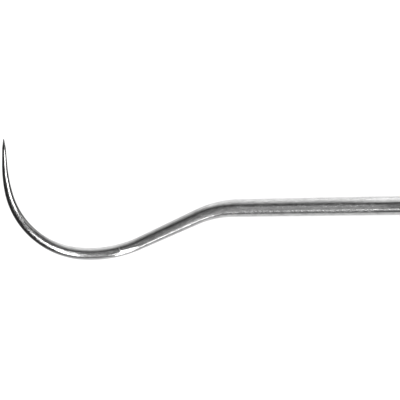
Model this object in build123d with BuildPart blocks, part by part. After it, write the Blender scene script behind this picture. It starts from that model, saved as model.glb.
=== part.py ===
from build123d import *
from math import cos, radians
import os

# Dental explorer: a ground steel wire, bent to a wide hook with a needle point, in an octagonal handle.
# Millimetres, +Z up. It lies on one flat of its handle, and the origin is the middle of that flat. +X runs
# along the handle to its butt. The hook lies level, as high as the handle's axis, with its point towards +Y.

# Handle: a solid octagonal bar, turned to a cone at the nose and at the butt
across_flats = 6.35
side_count = 8
handle_length = 115.0
edge_round = 0.25
nose_length = 9.0
nose_wall = 0.8
butt_length = 1.5
butt_drop = 1.2
rim_chamfer = 0.2

# Grip: behind the nose the bar is turned round, a little below its flats, and has a row of V rings
ring_count = 10
ring_pitch = 1.8
ring_width = 0.8
ring_depth = 0.3
ring_setback = 3.0
grip_relief = 0.05
grip_step = 0.8

# Seat of the wire in the handle
tang_length = 14.0
tang_chamfer = 0.3
braze_gap = 0.02
mouth_chamfer = 0.2

# Centre line of the wire from the handle's nose to the point: straight runs joined by tangent bends.
# The shoulder turns one way, and the heel, the hook and the throat turn back the other way.
shank_length = 26.0
shoulder_radius = 10.0
shoulder_angle = 23.75
leg_length = 6.2
heel_radius = 12.0
heel_angle = 30.2
hook_radius = 8.0
hook_angle = 70.1
throat_radius = 14.0
throat_angle = 12.0
needle_length = 1.65
point_length = 0.9

# Diameter of the wire at the far end of each run. Between two ends it is ground to an even taper.
tang_diameter = 2.0
shank_diameter = 1.78
shoulder_diameter = 1.47
leg_diameter = 1.25
heel_diameter = 1.21
hook_diameter = 0.77
throat_diameter = 0.53
needle_diameter = 0.36
tip_diameter = 0.08
tip_roundness = 0.8

# Places that follow from the sizes above
axis_height = across_flats / 2
corner_radius = axis_height / cos(radians(180 / side_count))
bore_radius = tang_diameter / 2 + braze_gap
nose_radius = bore_radius + nose_wall
grip_radius = axis_height - grip_relief
grip_length = (ring_count - 1) * ring_pitch + 2 * ring_setback
grip_end = nose_length + grip_length
butt_start = handle_length - butt_length
butt_radius = corner_radius - butt_drop
nose_x = -handle_length / 2
handle_axis = Axis((0, 0, axis_height), (1, 0, 0))
nose_face = Plane(origin=(nose_x, 0, axis_height), x_dir=(0, 1, 0), z_dir=(-1, 0, 0))
turning_plane = Plane(origin=(nose_x, 0, axis_height), x_dir=(1, 0, 0), z_dir=(0, -1, 0))


# Handle
with BuildPart() as handle:
    with BuildSketch(nose_face):
        RegularPolygon(axis_height, side_count, major_radius=False, rotation=180 / side_count)
    extrude(amount=-handle_length)
    fillet(handle.edges().filter_by(Axis.X), radius=edge_round)

    # The lathe leaves what lies inside this outline, spun about the axis
    with BuildSketch(turning_plane):
        with BuildLine():
            Polyline(
                (0, 0),
                (0, nose_radius),
                (nose_length, grip_radius),
                (grip_end, grip_radius),
                (grip_end + grip_step, corner_radius),
                (butt_start, corner_radius),
                (handle_length, butt_radius),
                (handle_length, 0),
                close=True,
            )
        make_face()

        # Each V is drawn as far above the grip's surface as below it, so it is twice as wide there
        for ring in range(ring_count):
            with Locations((nose_length + ring_setback + ring * ring_pitch, grip_radius)):
                Polygon(
                    (-ring_width, ring_depth),
                    (0, -ring_depth),
                    (ring_width, ring_depth),
                    align=None,
                    mode=Mode.SUBTRACT,
                )
    revolve(axis=handle_axis, mode=Mode.INTERSECT)
    rims = handle.edges().filter_by(GeomType.CIRCLE).group_by(Axis.X)
    chamfer(rims[0] + rims[-1], length=rim_chamfer)

    # Flat-bottomed bore for the tang, its mouth broken by a small chamfer
    with Locations(nose_face):
        CounterSinkHole(bore_radius, bore_radius + mouth_chamfer, tang_length, counter_sink_angle=90)
handle.part.label = "handle"


# Working end: the tang, then each run of the wire swept from one circle to the next along its centre line
with BuildLine(Plane.XY.offset(axis_height)):
    tang = Line((nose_x + tang_length, 0), (nose_x, 0))
    shank = PolarLine(tang @ 1, shank_length, direction=tang % 1)
    shoulder = JernArc(shank @ 1, shank % 1, shoulder_radius, shoulder_angle)
    leg = PolarLine(shoulder @ 1, leg_length, direction=shoulder % 1)
    heel = JernArc(leg @ 1, leg % 1, heel_radius, -heel_angle)
    hook = JernArc(heel @ 1, heel % 1, hook_radius, -hook_angle)
    throat = JernArc(hook @ 1, hook % 1, throat_radius, -throat_angle)
    needle = PolarLine(throat @ 1, needle_length, direction=throat % 1)
    point = PolarLine(needle @ 1, point_length, direction=needle % 1)

runs = [
    (tang, tang_diameter, tang_diameter),
    (shank, tang_diameter, shank_diameter),
    (shoulder, shank_diameter, shoulder_diameter),
    (leg, shoulder_diameter, leg_diameter),
    (heel, leg_diameter, heel_diameter),
    (hook, heel_diameter, hook_diameter),
    (throat, hook_diameter, throat_diameter),
    (needle, throat_diameter, needle_diameter),
    (point, needle_diameter, tip_diameter),
]

with BuildPart() as working_end:
    for run, near_diameter, far_diameter in runs:
        with BuildSketch(Plane(origin=run @ 0, x_dir=(0, 0, 1), z_dir=run % 0)):
            Circle(near_diameter / 2)
        with BuildSketch(Plane(origin=run @ 1, x_dir=(0, 0, 1), z_dir=run % 1)):
            Circle(far_diameter / 2)
        sweep(path=run, multisection=True)
    circles = working_end.edges().filter_by(GeomType.CIRCLE)
    chamfer(circles.sort_by(Axis.X)[-1], length=tang_chamfer)
    fillet(circles.sort_by(SortBy.RADIUS)[0], radius=tip_roundness * tip_diameter / 2)
working_end.part.label = "working_end"


os.makedirs("parts", exist_ok=True)
export_step(handle.part, "parts/handle.step")
export_step(working_end.part, "parts/working_end.step")
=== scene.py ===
import bpy
import numpy as np
from mathutils import Matrix, Vector


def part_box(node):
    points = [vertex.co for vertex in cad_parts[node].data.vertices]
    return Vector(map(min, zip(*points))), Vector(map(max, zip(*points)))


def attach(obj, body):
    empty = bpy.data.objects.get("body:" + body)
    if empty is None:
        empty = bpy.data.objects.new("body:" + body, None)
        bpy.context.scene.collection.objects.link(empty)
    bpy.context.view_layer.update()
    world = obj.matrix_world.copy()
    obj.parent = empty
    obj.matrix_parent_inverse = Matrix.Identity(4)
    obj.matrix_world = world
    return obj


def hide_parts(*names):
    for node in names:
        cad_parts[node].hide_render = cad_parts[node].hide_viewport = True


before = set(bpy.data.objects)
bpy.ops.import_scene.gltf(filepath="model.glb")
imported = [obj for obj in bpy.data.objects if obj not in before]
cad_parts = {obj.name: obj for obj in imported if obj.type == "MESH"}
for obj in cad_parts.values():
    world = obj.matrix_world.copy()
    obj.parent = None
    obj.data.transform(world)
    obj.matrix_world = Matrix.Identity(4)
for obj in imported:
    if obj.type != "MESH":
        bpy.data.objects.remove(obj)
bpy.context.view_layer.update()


# The working end is one stainless wire, drawn to 2 mm, ground by hand to a long taper and bent to its hook.
# The polishing lines run along it. Pliers have pressed a small flat into the heel, on the outside of the
# bend. The wire's root is brazed into the handle.
MM = 0.001
handle_low, handle_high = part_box("handle")
axis_z = (handle_low.z + handle_high.z) / 2
tang_length = 14.0 * MM
tang_chamfer = 0.3 * MM
shank_length = 26.0 * MM
leg_length = 6.2 * MM
needle_length = 1.65 * MM
point_length = 0.9 * MM
shoulder_bend = (10.0 * MM, np.radians(23.75))
heel_bend = (12.0 * MM, np.radians(-30.2))
hook_bend = (8.0 * MM, np.radians(-70.1))
throat_bend = (14.0 * MM, np.radians(-12.0))

# Length, turn and the far diameter of each run, from the tang's end to the point
runs = [
    (tang_length, 0.0, 2.0 * MM),
    (shank_length, 0.0, 1.78 * MM),
    (shoulder_bend[0] * abs(shoulder_bend[1]), shoulder_bend[1], 1.47 * MM),
    (leg_length, 0.0, 1.25 * MM),
    (heel_bend[0] * abs(heel_bend[1]), heel_bend[1], 1.21 * MM),
    (hook_bend[0] * abs(hook_bend[1]), hook_bend[1], 0.77 * MM),
    (throat_bend[0] * abs(throat_bend[1]), throat_bend[1], 0.53 * MM),
    (needle_length, 0.0, 0.36 * MM),
    (point_length, 0.0, 0.08 * MM),
]
run_ends = np.cumsum([0.0] + [length for length, turn, diameter in runs])
headings = np.pi + np.cumsum([0.0] + [turn for length, turn, diameter in runs])
diameters = np.array([2.0 * MM] + [diameter for length, turn, diameter in runs])
shank_start, shank_end, leg_end, wire_length = run_ends[1], run_ends[2], run_ends[4], run_ends[-1]

# Where the grinding starts on the drawn rod, and where the plier's flat ends in its lip
ground_start = 26.3 * MM
flat_lip = leg_end + 2.15 * MM


def centre_line(s):
    """Place and heading of the wire's axis at distance s from the tang's end. The heading turns evenly
    through each bend, and the place is the running sum of small steps along the heading."""
    fine = np.linspace(0.0, wire_length, 60001)
    step = fine[1] - fine[0]
    middle = np.interp(fine[:-1] + step / 2, run_ends, headings)
    x = handle_low.x + tang_length + np.concatenate([[0.0], np.cumsum(np.cos(middle)) * step])
    y = np.concatenate([[0.0], np.cumsum(np.sin(middle)) * step])
    return np.interp(s, fine, x), np.interp(s, fine, y), np.interp(s, run_ends, headings)


def smooth_step(low, high, value):
    """0 below low, 1 above high, and 3 t squared minus 2 t cubed between them."""
    t = np.clip((value - low) / (high - low), 0.0, 1.0)
    return t * t * (3.0 - 2.0 * t)


def closed_skin(name, rows, first_pole, last_pole, key, grid, first_value, last_value):
    """A closed mesh from a grid of rings (rings x points x 3), with a pole at each end. The attribute named
    key is the same kind of grid, with a value for each of the two poles."""
    ring_count, around = rows.shape[:2]
    points = np.concatenate([[first_pole], rows.reshape(-1, 3), [last_pole]])
    values = np.concatenate([[first_value], grid.reshape(-1, 3), [last_value]])
    index = 1 + np.arange(ring_count * around).reshape(ring_count, around)
    turned = np.roll(index, -1, axis=1)
    quads = np.stack([index[:-1], index[1:], turned[1:], turned[:-1]], axis=-1).reshape(-1, 4)
    last = len(points) - 1
    first_fan = np.stack([np.zeros(around, int), index[0], turned[0]], axis=-1)
    last_fan = np.stack([np.full(around, last), turned[-1], index[-1]], axis=-1)
    mesh = bpy.data.meshes.new(name)
    mesh.from_pydata(points.tolist(), [], first_fan.tolist() + quads.tolist() + last_fan.tolist())
    mesh.attributes.new(key, "FLOAT_VECTOR", "POINT").data.foreach_set("vector", values.ravel())
    mesh.shade_smooth()
    piece = bpy.data.objects.new(name, mesh)
    bpy.context.scene.collection.objects.link(piece)
    return piece


def grinding_ripples(s, angle, radius):
    """How deep hand grinding has cut at each place, most of all on the leg: the sum of four sine waves that
    run on along and around the wire, shifted so that it never rises above the true circle."""
    ripple_depth = 0.016 * MM
    on_shank = 0.08
    onto_leg = smooth_step(38.0 * MM, 42.0 * MM, s)
    off_leg = smooth_step(50.0 * MM, 53.0 * MM, s)
    by_hand = on_shank + (1.0 - on_shank) * onto_leg * (1.0 - off_leg)
    by_hand = by_hand * smooth_step(ground_start, ground_start + 2.0 * MM, s)

    # Each wave's length in mm, its turns around the wire and its phase
    waves = np.zeros((len(s), len(angle)))
    for wave_length, turns, phase in ((3.3, 2, 0.4), (2.1, -3, 1.9), (1.3, 4, 3.0), (0.9, -5, 5.1)):
        waves += np.sin(2 * np.pi * s[:, None] / (wave_length * MM) + turns * angle + phase)
    return ripple_depth * by_hand[:, None] * (0.25 + waves / 16.0) * (radius / radius.max())[:, None]


def pressed_flat(s, angle, radius):
    """Distance from the axis to the skin once pliers have pressed the heel. The flat is one plane, which
    faces up and outwards, so at angle a from its middle it lies at the radius less the depth, over cos a.
    Its depth grows evenly from the leg to a slanting lip, sharp on top and soft on the bend's outside."""
    flat_lie = np.radians(117.5)
    flat_length = 2.1 * MM
    flat_depth = 0.057 * MM
    outer = np.clip(-np.cos(angle) - 0.05, 0.0, 1.0)
    lip = flat_lip + 0.95 * MM * np.clip(outer - 0.15, 0.0, 1.0)
    lip_width = 0.08 * MM + 0.9 * MM * np.clip(outer - 0.25, 0.0, 1.0)
    deepening = np.clip(1.0 + (s[:, None] - flat_lip) / flat_length, 0.0, 1.1)
    press = deepening * (1.0 - smooth_step(0.0, 1.0, (s[:, None] - lip) / lip_width))
    facing = np.maximum(np.cos(angle - flat_lie), 0.2)
    return np.minimum(radius[:, None], (radius[:, None] - flat_depth * press) / facing)


def ground_wire():
    """The wire's skin: at distance s along the axis and angle a around it, the point is the axis's place
    plus the reach times (cos a across, sin a up). The reach is the radius, which tapers evenly in each run
    and is rounded off at both ends, less the plier's flat and the ripples. The attribute straight holds the
    same point on an unbent wire: its distance along, across and up."""
    around, tang_rings, shank_rings, bend_rings, tip_rings = 96, 20, 240, 560, 8
    tip_radius = diameters[-1] / 2
    tip_start = wire_length - tip_radius
    body = np.concatenate([
        [0.0],
        np.linspace(tang_chamfer, shank_start, tang_rings)[:-1],
        np.linspace(shank_start, shank_end, shank_rings)[:-1],
        np.linspace(shank_end, tip_start, bend_rings),
    ])
    cap_angle = np.radians(np.linspace(10.0, 85.0, tip_rings))
    s = np.concatenate([body, tip_start + tip_radius * np.sin(cap_angle)])
    radius = np.interp(s, run_ends, diameters) / 2
    radius[0] -= tang_chamfer
    radius[len(body):] = tip_radius * np.cos(cap_angle)
    angle = np.arange(around) * 2 * np.pi / around - np.pi / 2
    x, y, heading = centre_line(s)
    reach = pressed_flat(s, angle, radius) - grinding_ripples(s, angle, radius)
    out = reach * np.cos(angle)
    up = reach * np.sin(angle)
    across_x, across_y = np.sin(heading)[:, None], -np.cos(heading)[:, None]
    rows = np.stack([x[:, None] + across_x * out, y[:, None] + across_y * out, axis_z + up], axis=-1)
    straight = np.stack([np.repeat(s[:, None], around, axis=1), out, up], axis=-1)
    tip_x, tip_y, tip_heading = centre_line(np.array([wire_length]))
    root_pole = (x[0], y[0], axis_z)
    tip_pole = (tip_x[0], tip_y[0], axis_z)
    straight_tip = (wire_length, 0, 0)
    return closed_skin("wire", rows, root_pole, tip_pole, "straight", straight, (0, 0, 0), straight_tip)


def add_node(tree, kind, **settings):
    """A new node of that kind. A setting named after a socket, or after its number as in in0, fills or feeds
    it, and any other is a property."""
    made = tree.nodes.new(kind)
    for key, value in settings.items():
        socket = made.inputs.get(key.replace("_", " "))
        if key[:2] == "in" and key[2:].isdigit():
            socket = made.inputs[int(key[2:])]
        if socket is None:
            setattr(made, key, value)
        elif isinstance(value, bpy.types.NodeSocket):
            tree.links.new(value, socket)
        else:
            socket.default_value = value
    return made


def reckon(tree, operation, first, second=0.0, third=0.0):
    """What a Math node makes of up to three numbers or sockets."""
    made = add_node(tree, "ShaderNodeMath", operation=operation, in0=first, in1=second)
    if operation == "MULTIPLY_ADD" and isinstance(third, bpy.types.NodeSocket):
        tree.links.new(third, made.inputs[2])
    elif operation == "MULTIPLY_ADD":
        made.inputs[2].default_value = third
    return made.outputs[0]


def ramp_between(tree, value, start, end, low=0.0, high=1.0, soft=True):
    """Low where the value is at start or before it, high at end or past it, with a soft or an even slope."""
    kind = "SMOOTHSTEP" if soft else "LINEAR"
    made = add_node(tree, "ShaderNodeMapRange", Value=value, interpolation_type=kind, From_Min=start,
                    From_Max=end, To_Min=low, To_Max=high)
    return made.outputs["Result"]


def mixed(tree, kind, share, first, second):
    """One number (FLOAT) or colour (RGBA) that passes from the first to the second as the share grows."""
    made = add_node(tree, "ShaderNodeMix", data_type=kind)
    offset = 2 if kind == "FLOAT" else 6
    for index, value in ((0, share), (offset, first), (offset + 1, second)):
        if isinstance(value, bpy.types.NodeSocket):
            tree.links.new(value, made.inputs[index])
        else:
            made.inputs[index].default_value = value
    return made.outputs[0 if kind == "FLOAT" else 2]


def grey(level, blue=0.0):
    """A grey as a colour, a shade bluer by the second number."""
    return (level, level, level + blue, 1.0)


def bare_material(name):
    """A new material without nodes, and its tree."""
    material = bpy.data.materials.new(name)
    material.use_nodes = True
    material.node_tree.nodes.clear()
    return material, material.node_tree


def polishing_lines():
    """A group that puts out the marks of polishing along X: noise whose coordinates are squeezed along X.
    Lines is the fine relief, and Haze is 1 in the duller scratches and 0 between them."""
    group = bpy.data.node_groups.new("polishing_lines", "ShaderNodeTree")
    face = group.interface
    face.new_socket("Vector", in_out="INPUT", socket_type="NodeSocketVector")
    for name in ("Along", "Across", "Scratched"):
        face.new_socket(name, in_out="INPUT", socket_type="NodeSocketFloat")
    for name in ("Lines", "Haze"):
        face.new_socket(name, in_out="OUTPUT", socket_type="NodeSocketFloat")
    into = group.nodes.new("NodeGroupInput")
    scale = add_node(group, "ShaderNodeCombineXYZ", X=into.outputs["Along"], Y=into.outputs["Across"],
                     Z=into.outputs["Across"])
    drawn = add_node(group, "ShaderNodeVectorMath", operation="MULTIPLY", in0=into.outputs["Vector"],
                     in1=scale.outputs["Vector"])
    fine = add_node(group, "ShaderNodeTexNoise", Vector=drawn.outputs["Vector"], Scale=1.0, Detail=5.0,
                    Roughness=0.6)
    scratches = add_node(group, "ShaderNodeTexNoise", Vector=drawn.outputs["Vector"], Scale=1.9, Detail=3.0,
                         Roughness=0.7)
    lines = ramp_between(group, fine.outputs["Fac"], 0.32, 0.68, soft=False)
    dullest = reckon(group, "ADD", into.outputs["Scratched"], 0.12)
    haze = ramp_between(group, scratches.outputs["Fac"], into.outputs["Scratched"], dullest, soft=False)
    out = group.nodes.new("NodeGroupOutput")
    group.links.new(lines, out.inputs["Lines"])
    group.links.new(haze, out.inputs["Haze"])
    return group


lines_group = polishing_lines()


def place_lines(tree, vector, along, across, scratched):
    """The polishing lines in a material, with their scales along and across the marks."""
    lines = add_node(tree, "ShaderNodeGroup", node_tree=lines_group)
    tree.links.new(vector, lines.inputs["Vector"])
    lines.inputs["Along"].default_value = along
    lines.inputs["Across"].default_value = across
    lines.inputs["Scratched"].default_value = scratched
    return lines


def polished_steel():
    """Bright stainless steel, polished along the wire: fine relief, duller scratches in it, and a row of
    small drag marks on the upper outside of the shank. The rod is left as drawn next to the handle."""
    material, tree = bare_material("polished_steel")
    place = add_node(tree, "ShaderNodeAttribute", attribute_name="straight").outputs["Vector"]
    along = add_node(tree, "ShaderNodeSeparateXYZ", Vector=place)
    lines = place_lines(tree, place, 1400.0, 7500.0, 0.45)
    ground_edge = 0.1 * MM
    ground = ramp_between(tree, along.outputs["X"], ground_start - ground_edge, ground_start + ground_edge,
                          soft=False)

    # Drag marks: a rubbed line with brighter specks in it, at drag_side times the radius across the wire
    drag_side, drag_width, drag_pitch = -0.40, 0.10, 0.5 * MM
    off_axis = add_node(tree, "ShaderNodeCombineXYZ", X=0.0, Y=along.outputs["Y"], Z=along.outputs["Z"])
    radius = add_node(tree, "ShaderNodeVectorMath", operation="LENGTH", in0=off_axis.outputs["Vector"])
    out_share = reckon(tree, "DIVIDE", along.outputs["Y"], radius.outputs["Value"])
    off_row = reckon(tree, "ABSOLUTE", reckon(tree, "SUBTRACT", out_share, drag_side))
    in_row = ramp_between(tree, off_row, drag_width / 2, drag_width, 1.0, 0.0)
    on_top = reckon(tree, "GREATER_THAN", along.outputs["Z"], 0.0)
    on_shank = ramp_between(tree, along.outputs["X"], 39.5 * MM, 38.0 * MM, soft=False)
    row = reckon(tree, "MULTIPLY", reckon(tree, "MULTIPLY", in_row, on_top), on_shank)
    beads = add_node(tree, "ShaderNodeTexVoronoi", voronoi_dimensions="1D", W=along.outputs["X"],
                     Scale=1.0 / drag_pitch)
    bead = ramp_between(tree, beads.outputs["Distance"], 0.05, 0.3, 1.0, 0.0)
    specks = reckon(tree, "MULTIPLY", row, bead)

    # The jaw's edge has left a dull line across the top of the wire at the flat's lip
    off_lip = reckon(tree, "ABSOLUTE", reckon(tree, "SUBTRACT", along.outputs["X"], flat_lip))
    at_lip = ramp_between(tree, off_lip, 0.03 * MM, 0.12 * MM, 1.0, 0.0)
    below_inside = ramp_between(tree, out_share, 0.7, 0.4)
    above_flat = ramp_between(tree, out_share, -0.15, 0.0)
    bruise = reckon(tree, "MULTIPLY", reckon(tree, "MULTIPLY", at_lip, below_inside), above_flat)

    # The point's last 1.5 mm turns duller and darker towards its end
    dull_dark_point = ramp_between(tree, along.outputs["X"], wire_length - 1.5 * MM, wire_length - 0.85 * MM)

    # Roughness: the drawn rod is the smoothest, ground steel is a little duller, and its scratches more so
    drawn_gloss, ground_gloss, speck_gloss = 0.07, 0.10, 0.05
    gloss = ramp_between(tree, ground, 0.0, 1.0, drawn_gloss, ground_gloss, soft=False)
    haze = reckon(tree, "MULTIPLY", lines.outputs["Haze"], ground)
    for mark, added in ((haze, 0.16), (row, 0.08), (bruise, 0.18)):
        gloss = reckon(tree, "MULTIPLY_ADD", mark, added, gloss)
    gloss = mixed(tree, "FLOAT", specks, gloss, speck_gloss)
    gloss = reckon(tree, "MULTIPLY_ADD", dull_dark_point, 0.15, gloss)
    tone = mixed(tree, "RGBA", lines.outputs["Lines"], grey(0.55), grey(0.86))
    tone = mixed(tree, "RGBA", dull_dark_point, tone, grey(0.16))
    relief = add_node(tree, "ShaderNodeBump", Height=lines.outputs["Lines"], Strength=1.0,
                      Distance=0.0012 * MM)
    raised = add_node(tree, "ShaderNodeBump", Height=specks, Strength=1.0, Distance=0.004 * MM,
                      Normal=relief.outputs["Normal"])
    steel = add_node(tree, "ShaderNodeBsdfPrincipled", Metallic=1.0, Base_Color=tone, Roughness=gloss,
                     Normal=raised.outputs["Normal"])
    add_node(tree, "ShaderNodeOutputMaterial", Surface=steel.outputs["BSDF"])
    return material


wire = ground_wire()
wire.data.materials.append(polished_steel())
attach(wire, "root")
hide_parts("working_end")


# The handle is one octagonal stainless bar. Its flats are brushed lengthwise, and its nose, grip and butt
# keep the rings that the lathe left. Long use has rubbed its edges bright.
nose_back = handle_low.x + 9.0 * MM
grip_back = handle_low.x + 31.9 * MM
butt_front = handle_high.x - 1.5 * MM
half_across = (handle_high.z - handle_low.z) / 2


def satin_steel():
    """Satin stainless steel: brushed along X on the flats and turned about the axis elsewhere. Edges, which
    lie further from the axis than the flats do, are smoother, and the bottoms of the rings are duller, with
    painted shade darkening their colour."""
    material, tree = bare_material("satin_steel")
    place = add_node(tree, "ShaderNodeTexCoord").outputs["Object"]
    along = add_node(tree, "ShaderNodeSeparateXYZ", Vector=place)
    brushed = place_lines(tree, place, 100.0, 12000.0, 0.45)
    turned = place_lines(tree, place, 12000.0, 90.0, 0.45)
    front = reckon(tree, "LESS_THAN", along.outputs["X"], grip_back)
    back = reckon(tree, "GREATER_THAN", along.outputs["X"], butt_front)
    lathe = reckon(tree, "MAXIMUM", front, back)
    lines = mixed(tree, "FLOAT", lathe, brushed.outputs["Lines"], turned.outputs["Lines"])
    haze = mixed(tree, "FLOAT", lathe, brushed.outputs["Haze"], turned.outputs["Haze"])

    # Distance from the axis: corners stand out of the flats, and ring bottoms lie below the grip
    height = reckon(tree, "SUBTRACT", along.outputs["Z"], axis_z)
    off_axis = add_node(tree, "ShaderNodeCombineXYZ", X=0.0, Y=along.outputs["Y"], Z=height)
    radius = add_node(tree, "ShaderNodeVectorMath", operation="LENGTH", in0=off_axis.outputs["Vector"])
    edge = ramp_between(tree, radius.outputs["Value"], half_across + 0.17 * MM, half_across + 0.25 * MM)
    worn = reckon(tree, "MULTIPLY", edge, reckon(tree, "SUBTRACT", 1.0, lathe))
    sunk = ramp_between(tree, radius.outputs["Value"], half_across - 0.1 * MM, half_across - 0.3 * MM)
    behind_nose = reckon(tree, "GREATER_THAN", along.outputs["X"], nose_back)
    ring_bottom_dull_and_shaded = reckon(tree, "MULTIPLY", reckon(tree, "MULTIPLY", sunk, behind_nose), front)

    # Roughness: scratches and ring bottoms add to it, worn edges take from it, and handling has smudged it
    gloss = ramp_between(tree, haze, 0.0, 1.0, 0.24, 0.42, soft=False)
    gloss = reckon(tree, "MULTIPLY_ADD", ring_bottom_dull_and_shaded, 0.15, gloss)
    gloss = reckon(tree, "MULTIPLY_ADD", worn, -0.08, gloss)
    handled = add_node(tree, "ShaderNodeTexNoise", Vector=place, Scale=160.0, Detail=3.0)
    smudge = ramp_between(tree, handled.outputs["Fac"], 0.35, 0.65, -0.03, 0.05, soft=False)
    gloss = reckon(tree, "ADD", gloss, smudge)
    tone = mixed(tree, "RGBA", lines, grey(0.57, 0.005), grey(0.68, 0.005))
    # Painted shade: the bottoms of the rings get a darker grey colour, as shade in the grooves
    tone = mixed(tree, "RGBA", ring_bottom_dull_and_shaded, tone, grey(0.36))
    relief = add_node(tree, "ShaderNodeBump", Height=lines, Strength=1.0, Distance=0.002 * MM)
    steel = add_node(tree, "ShaderNodeBsdfPrincipled", Metallic=1.0, Base_Color=tone, Roughness=gloss,
                     Normal=relief.outputs["Normal"])
    add_node(tree, "ShaderNodeOutputMaterial", Surface=steel.outputs["BSDF"])
    return material


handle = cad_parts["handle"]
handle.data.materials.clear()
handle.data.materials.append(satin_steel())


# The floor is a plain white sheet. The camera sees it white, a little darker in the object's soft shadow.
# The steel sees the studio round it instead, which the world holds.
def white_floor():
    """White card for the lamps, and for the camera mostly its own white, so that only a faint shadow is
    left."""
    material, tree = bare_material("white_floor")
    card = add_node(tree, "ShaderNodeBsdfDiffuse", Color=grey(0.85))
    thin_card = add_node(tree, "ShaderNodeBsdfDiffuse", Color=grey(0.36))
    own_white = add_node(tree, "ShaderNodeEmission", Color=grey(1.0), Strength=0.75)
    seen = add_node(tree, "ShaderNodeAddShader", in0=thin_card.outputs[0], in1=own_white.outputs[0])
    path = add_node(tree, "ShaderNodeLightPath")
    pick = add_node(tree, "ShaderNodeMixShader", in0=path.outputs["Is Camera Ray"], in1=card.outputs[0],
                    in2=seen.outputs[0])
    add_node(tree, "ShaderNodeOutputMaterial", Surface=pick.outputs[0])
    return material


floor_half = 4.0
floor_corners = [(side_x * floor_half, side_y * floor_half, 0.0)
                 for side_x, side_y in ((-1, -1), (1, -1), (1, 1), (-1, 1))]
floor_mesh = bpy.data.meshes.new("floor")
floor_mesh.from_pydata(floor_corners, [], [(0, 1, 2, 3)])
floor = bpy.data.objects.new("floor", floor_mesh)
bpy.context.scene.collection.objects.link(floor)
floor.data.materials.append(white_floor())
floor.visible_glossy = False


# The studio: a white table below, its front part in half shade, a white wall behind, a grey one in front and
# a dim ceiling. A dark gap lies under the front wall and another between the ceiling and the back wall, and
# it is dark to the left and right. The steel mirrors all of it, and the camera itself sees only plain white.
white, half_shade, grey_wall, dim_ceiling, dark_gap = 1.0, 0.6, 0.3, 0.2, 0.05

# Each stop is a lean from straight up, in degrees to the back (plus) or the front (minus), and its level
studio_glow = [
    (-180, white), (-95, half_shade), (-78, dark_gap), (-62, grey_wall), (-45, grey_wall),
    (-20, dim_ceiling), (0, dim_ceiling), (38, dark_gap), (95, white), (180, white),
]
world = bpy.data.worlds.new("studio")
bpy.context.scene.world = world
world.use_nodes = True
tree = world.node_tree
tree.nodes.clear()
way = add_node(tree, "ShaderNodeTexCoord")
parts = add_node(tree, "ShaderNodeSeparateXYZ", Vector=way.outputs["Generated"])

# The back wall's light starts lower down towards its ends, by end_drop at most
end_drop = np.radians(35.0)
lean = reckon(tree, "ARCTAN2", parts.outputs["Y"], parts.outputs["Z"])
sideways = reckon(tree, "ABSOLUTE", parts.outputs["X"])
lowered = reckon(tree, "MULTIPLY_ADD", sideways, -end_drop, lean)
seen_lean = reckon(tree, "MAXIMUM", lowered, reckon(tree, "MINIMUM", lean, 0.0))
place_on_ramp = ramp_between(tree, seen_lean, -np.pi, np.pi, soft=False)
ramp = add_node(tree, "ShaderNodeValToRGB", Fac=place_on_ramp)
stops = ramp.color_ramp.elements
stops[0].position, stops[0].color = 0.0, grey(studio_glow[0][1])
stops[1].position, stops[1].color = 1.0, grey(studio_glow[-1][1])
for degrees, level in studio_glow[1:-1]:
    stops.new((degrees + 180) / 360).color = grey(level)

# The left side is darker in front than behind
behind = reckon(tree, "MAXIMUM", parts.outputs["Y"], 0.0)
slanted = reckon(tree, "MULTIPLY_ADD", behind, 0.2, parts.outputs["X"])
left = ramp_between(tree, slanted, -0.68, 0.05, 0.06, 1.0)
right = ramp_between(tree, parts.outputs["X"], 0.2, 0.75, 1.0, 0.15)
sides = reckon(tree, "MULTIPLY", left, right)
studio = add_node(tree, "ShaderNodeVectorMath", operation="SCALE", in0=ramp.outputs["Color"], Scale=sides)

# The steel sees the studio, the camera plain white, and the floor an even grey room
path = add_node(tree, "ShaderNodeLightPath")
in_steel = reckon(tree, "MAXIMUM", path.outputs["Is Glossy Ray"], path.outputs["Is Transmission Ray"])
room = mixed(tree, "RGBA", path.outputs["Is Camera Ray"], grey(0.7), grey(1.0))
view = mixed(tree, "RGBA", in_steel, room, studio.outputs[0])
glow = add_node(tree, "ShaderNodeBackground", Strength=1.0, Color=view)
add_node(tree, "ShaderNodeOutputWorld", Surface=glow.outputs[0])


def sky_place(target, lean_x, lean_y, distance):
    """The place seen from the target when one leans from straight up by these degrees towards +X and +Y."""
    lean = np.array([lean_x, lean_y])
    zenith = np.hypot(*lean)
    flat = lean / zenith * np.sin(np.radians(zenith))
    return target + distance * Vector((flat[0], flat[1], np.cos(np.radians(zenith))))


def soft_panel(name, target, start, end, distance, width, glow):
    """A soft panel of that width, in degrees as the target sees it, from one place in the sky to another. It
    faces the target, and glow is how bright its face is, where white paper in full light is 1."""
    a = sky_place(target, *start, distance)
    b = sky_place(target, *end, distance)
    middle = (a + b) / 2
    back = (middle - target).normalized()
    side = (b - a).normalized()
    data = bpy.data.lights.new(name, "AREA")
    data.shape = "RECTANGLE"
    data.size = (b - a).length
    data.size_y = distance * np.radians(width)
    data.energy = glow * np.pi * data.size * data.size_y
    lamp = bpy.data.objects.new(name, data)
    lamp.matrix_world = Matrix((side, back.cross(side), back)).transposed().to_4x4()
    lamp.location = middle
    lamp.visible_camera = False
    bpy.context.scene.collection.objects.link(lamp)


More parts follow.
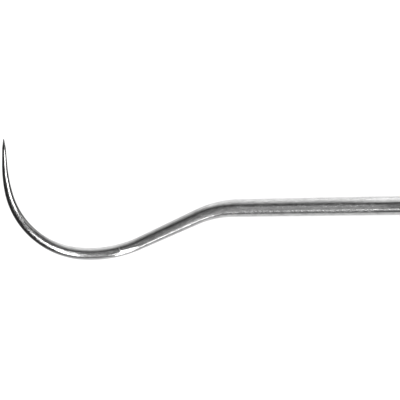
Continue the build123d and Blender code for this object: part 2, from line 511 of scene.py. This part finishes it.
# Panels round the hook, the leg and the heel. A small panel close to the wire lights only the stretch next
# to it.
hook_middle = Vector((-0.104, 0.0, axis_z))
leg_middle = Vector((-0.090, -0.002, axis_z))
heel_lip = Vector((-0.0952, -0.0042, axis_z))
soft_panel("panel_right", hook_middle, (12, 3), (46, 18), 1.5, 14, 4.0)
soft_panel("panel_over", hook_middle, (-11.5, -16), (-12.5, -56), 0.12, 12, 4.0)
soft_panel("panel_near", hook_middle, (2.5, -2.5), (-10.5, -15.5), 0.03, 8, 3.0)
soft_panel("panel_front", leg_middle, (19, -58), (25, -70), 0.4, 14, 2.2)
soft_panel("panel_heel", heel_lip, (11, -47), (15.5, -65), 0.03, 12, 2.6)

# A narrow slit of light in front of the handle's half of the shank, and a faint panel over the rest of it
slit_middle = Vector((-0.0605, 0.0, axis_z))
shank_middle = Vector((-0.0766, 0.0, axis_z))
soft_panel("slit_front", slit_middle, (-16, -44), (16, -44), 0.06, 2, 3.0)
soft_panel("panel_shank", shank_middle, (0, -60), (0, 12), 0.03, 36, 0.11)

# Thin panels behind the handle's end of the shank lighten its upper side in steps
for step in range(3):
    behind_end = Vector((-0.0575 + 0.002 * step, 0.0, axis_z))
    soft_panel("panel_back_%d" % step, behind_end, (0, 40), (0, 100), 0.05, 28, 0.36)


# The camera looks straight down on the hook. Its frame is 40 mm wide, and it is turned so that the shank
# rises a little to the right.
frame_width = 40.0 * MM
picture_middle = Vector((-87.167 * MM, 0.857 * MM, axis_z))
picture_roll = np.radians(-0.88)
camera_data = bpy.data.cameras.new("camera")
camera_data.sensor_width = 36.0
camera_data.lens = 300.0
camera_data.clip_start = 0.01
camera_data.clip_end = 10.0
camera_height = frame_width * camera_data.lens / camera_data.sensor_width
camera = bpy.data.objects.new("camera", camera_data)
camera.location = picture_middle + Vector((0, 0, camera_height))
camera.rotation_euler = (0.0, 0.0, picture_roll)
bpy.context.scene.collection.objects.link(camera)
bpy.context.scene.camera = camera
bpy.context.scene.view_settings.view_transform = "Standard"
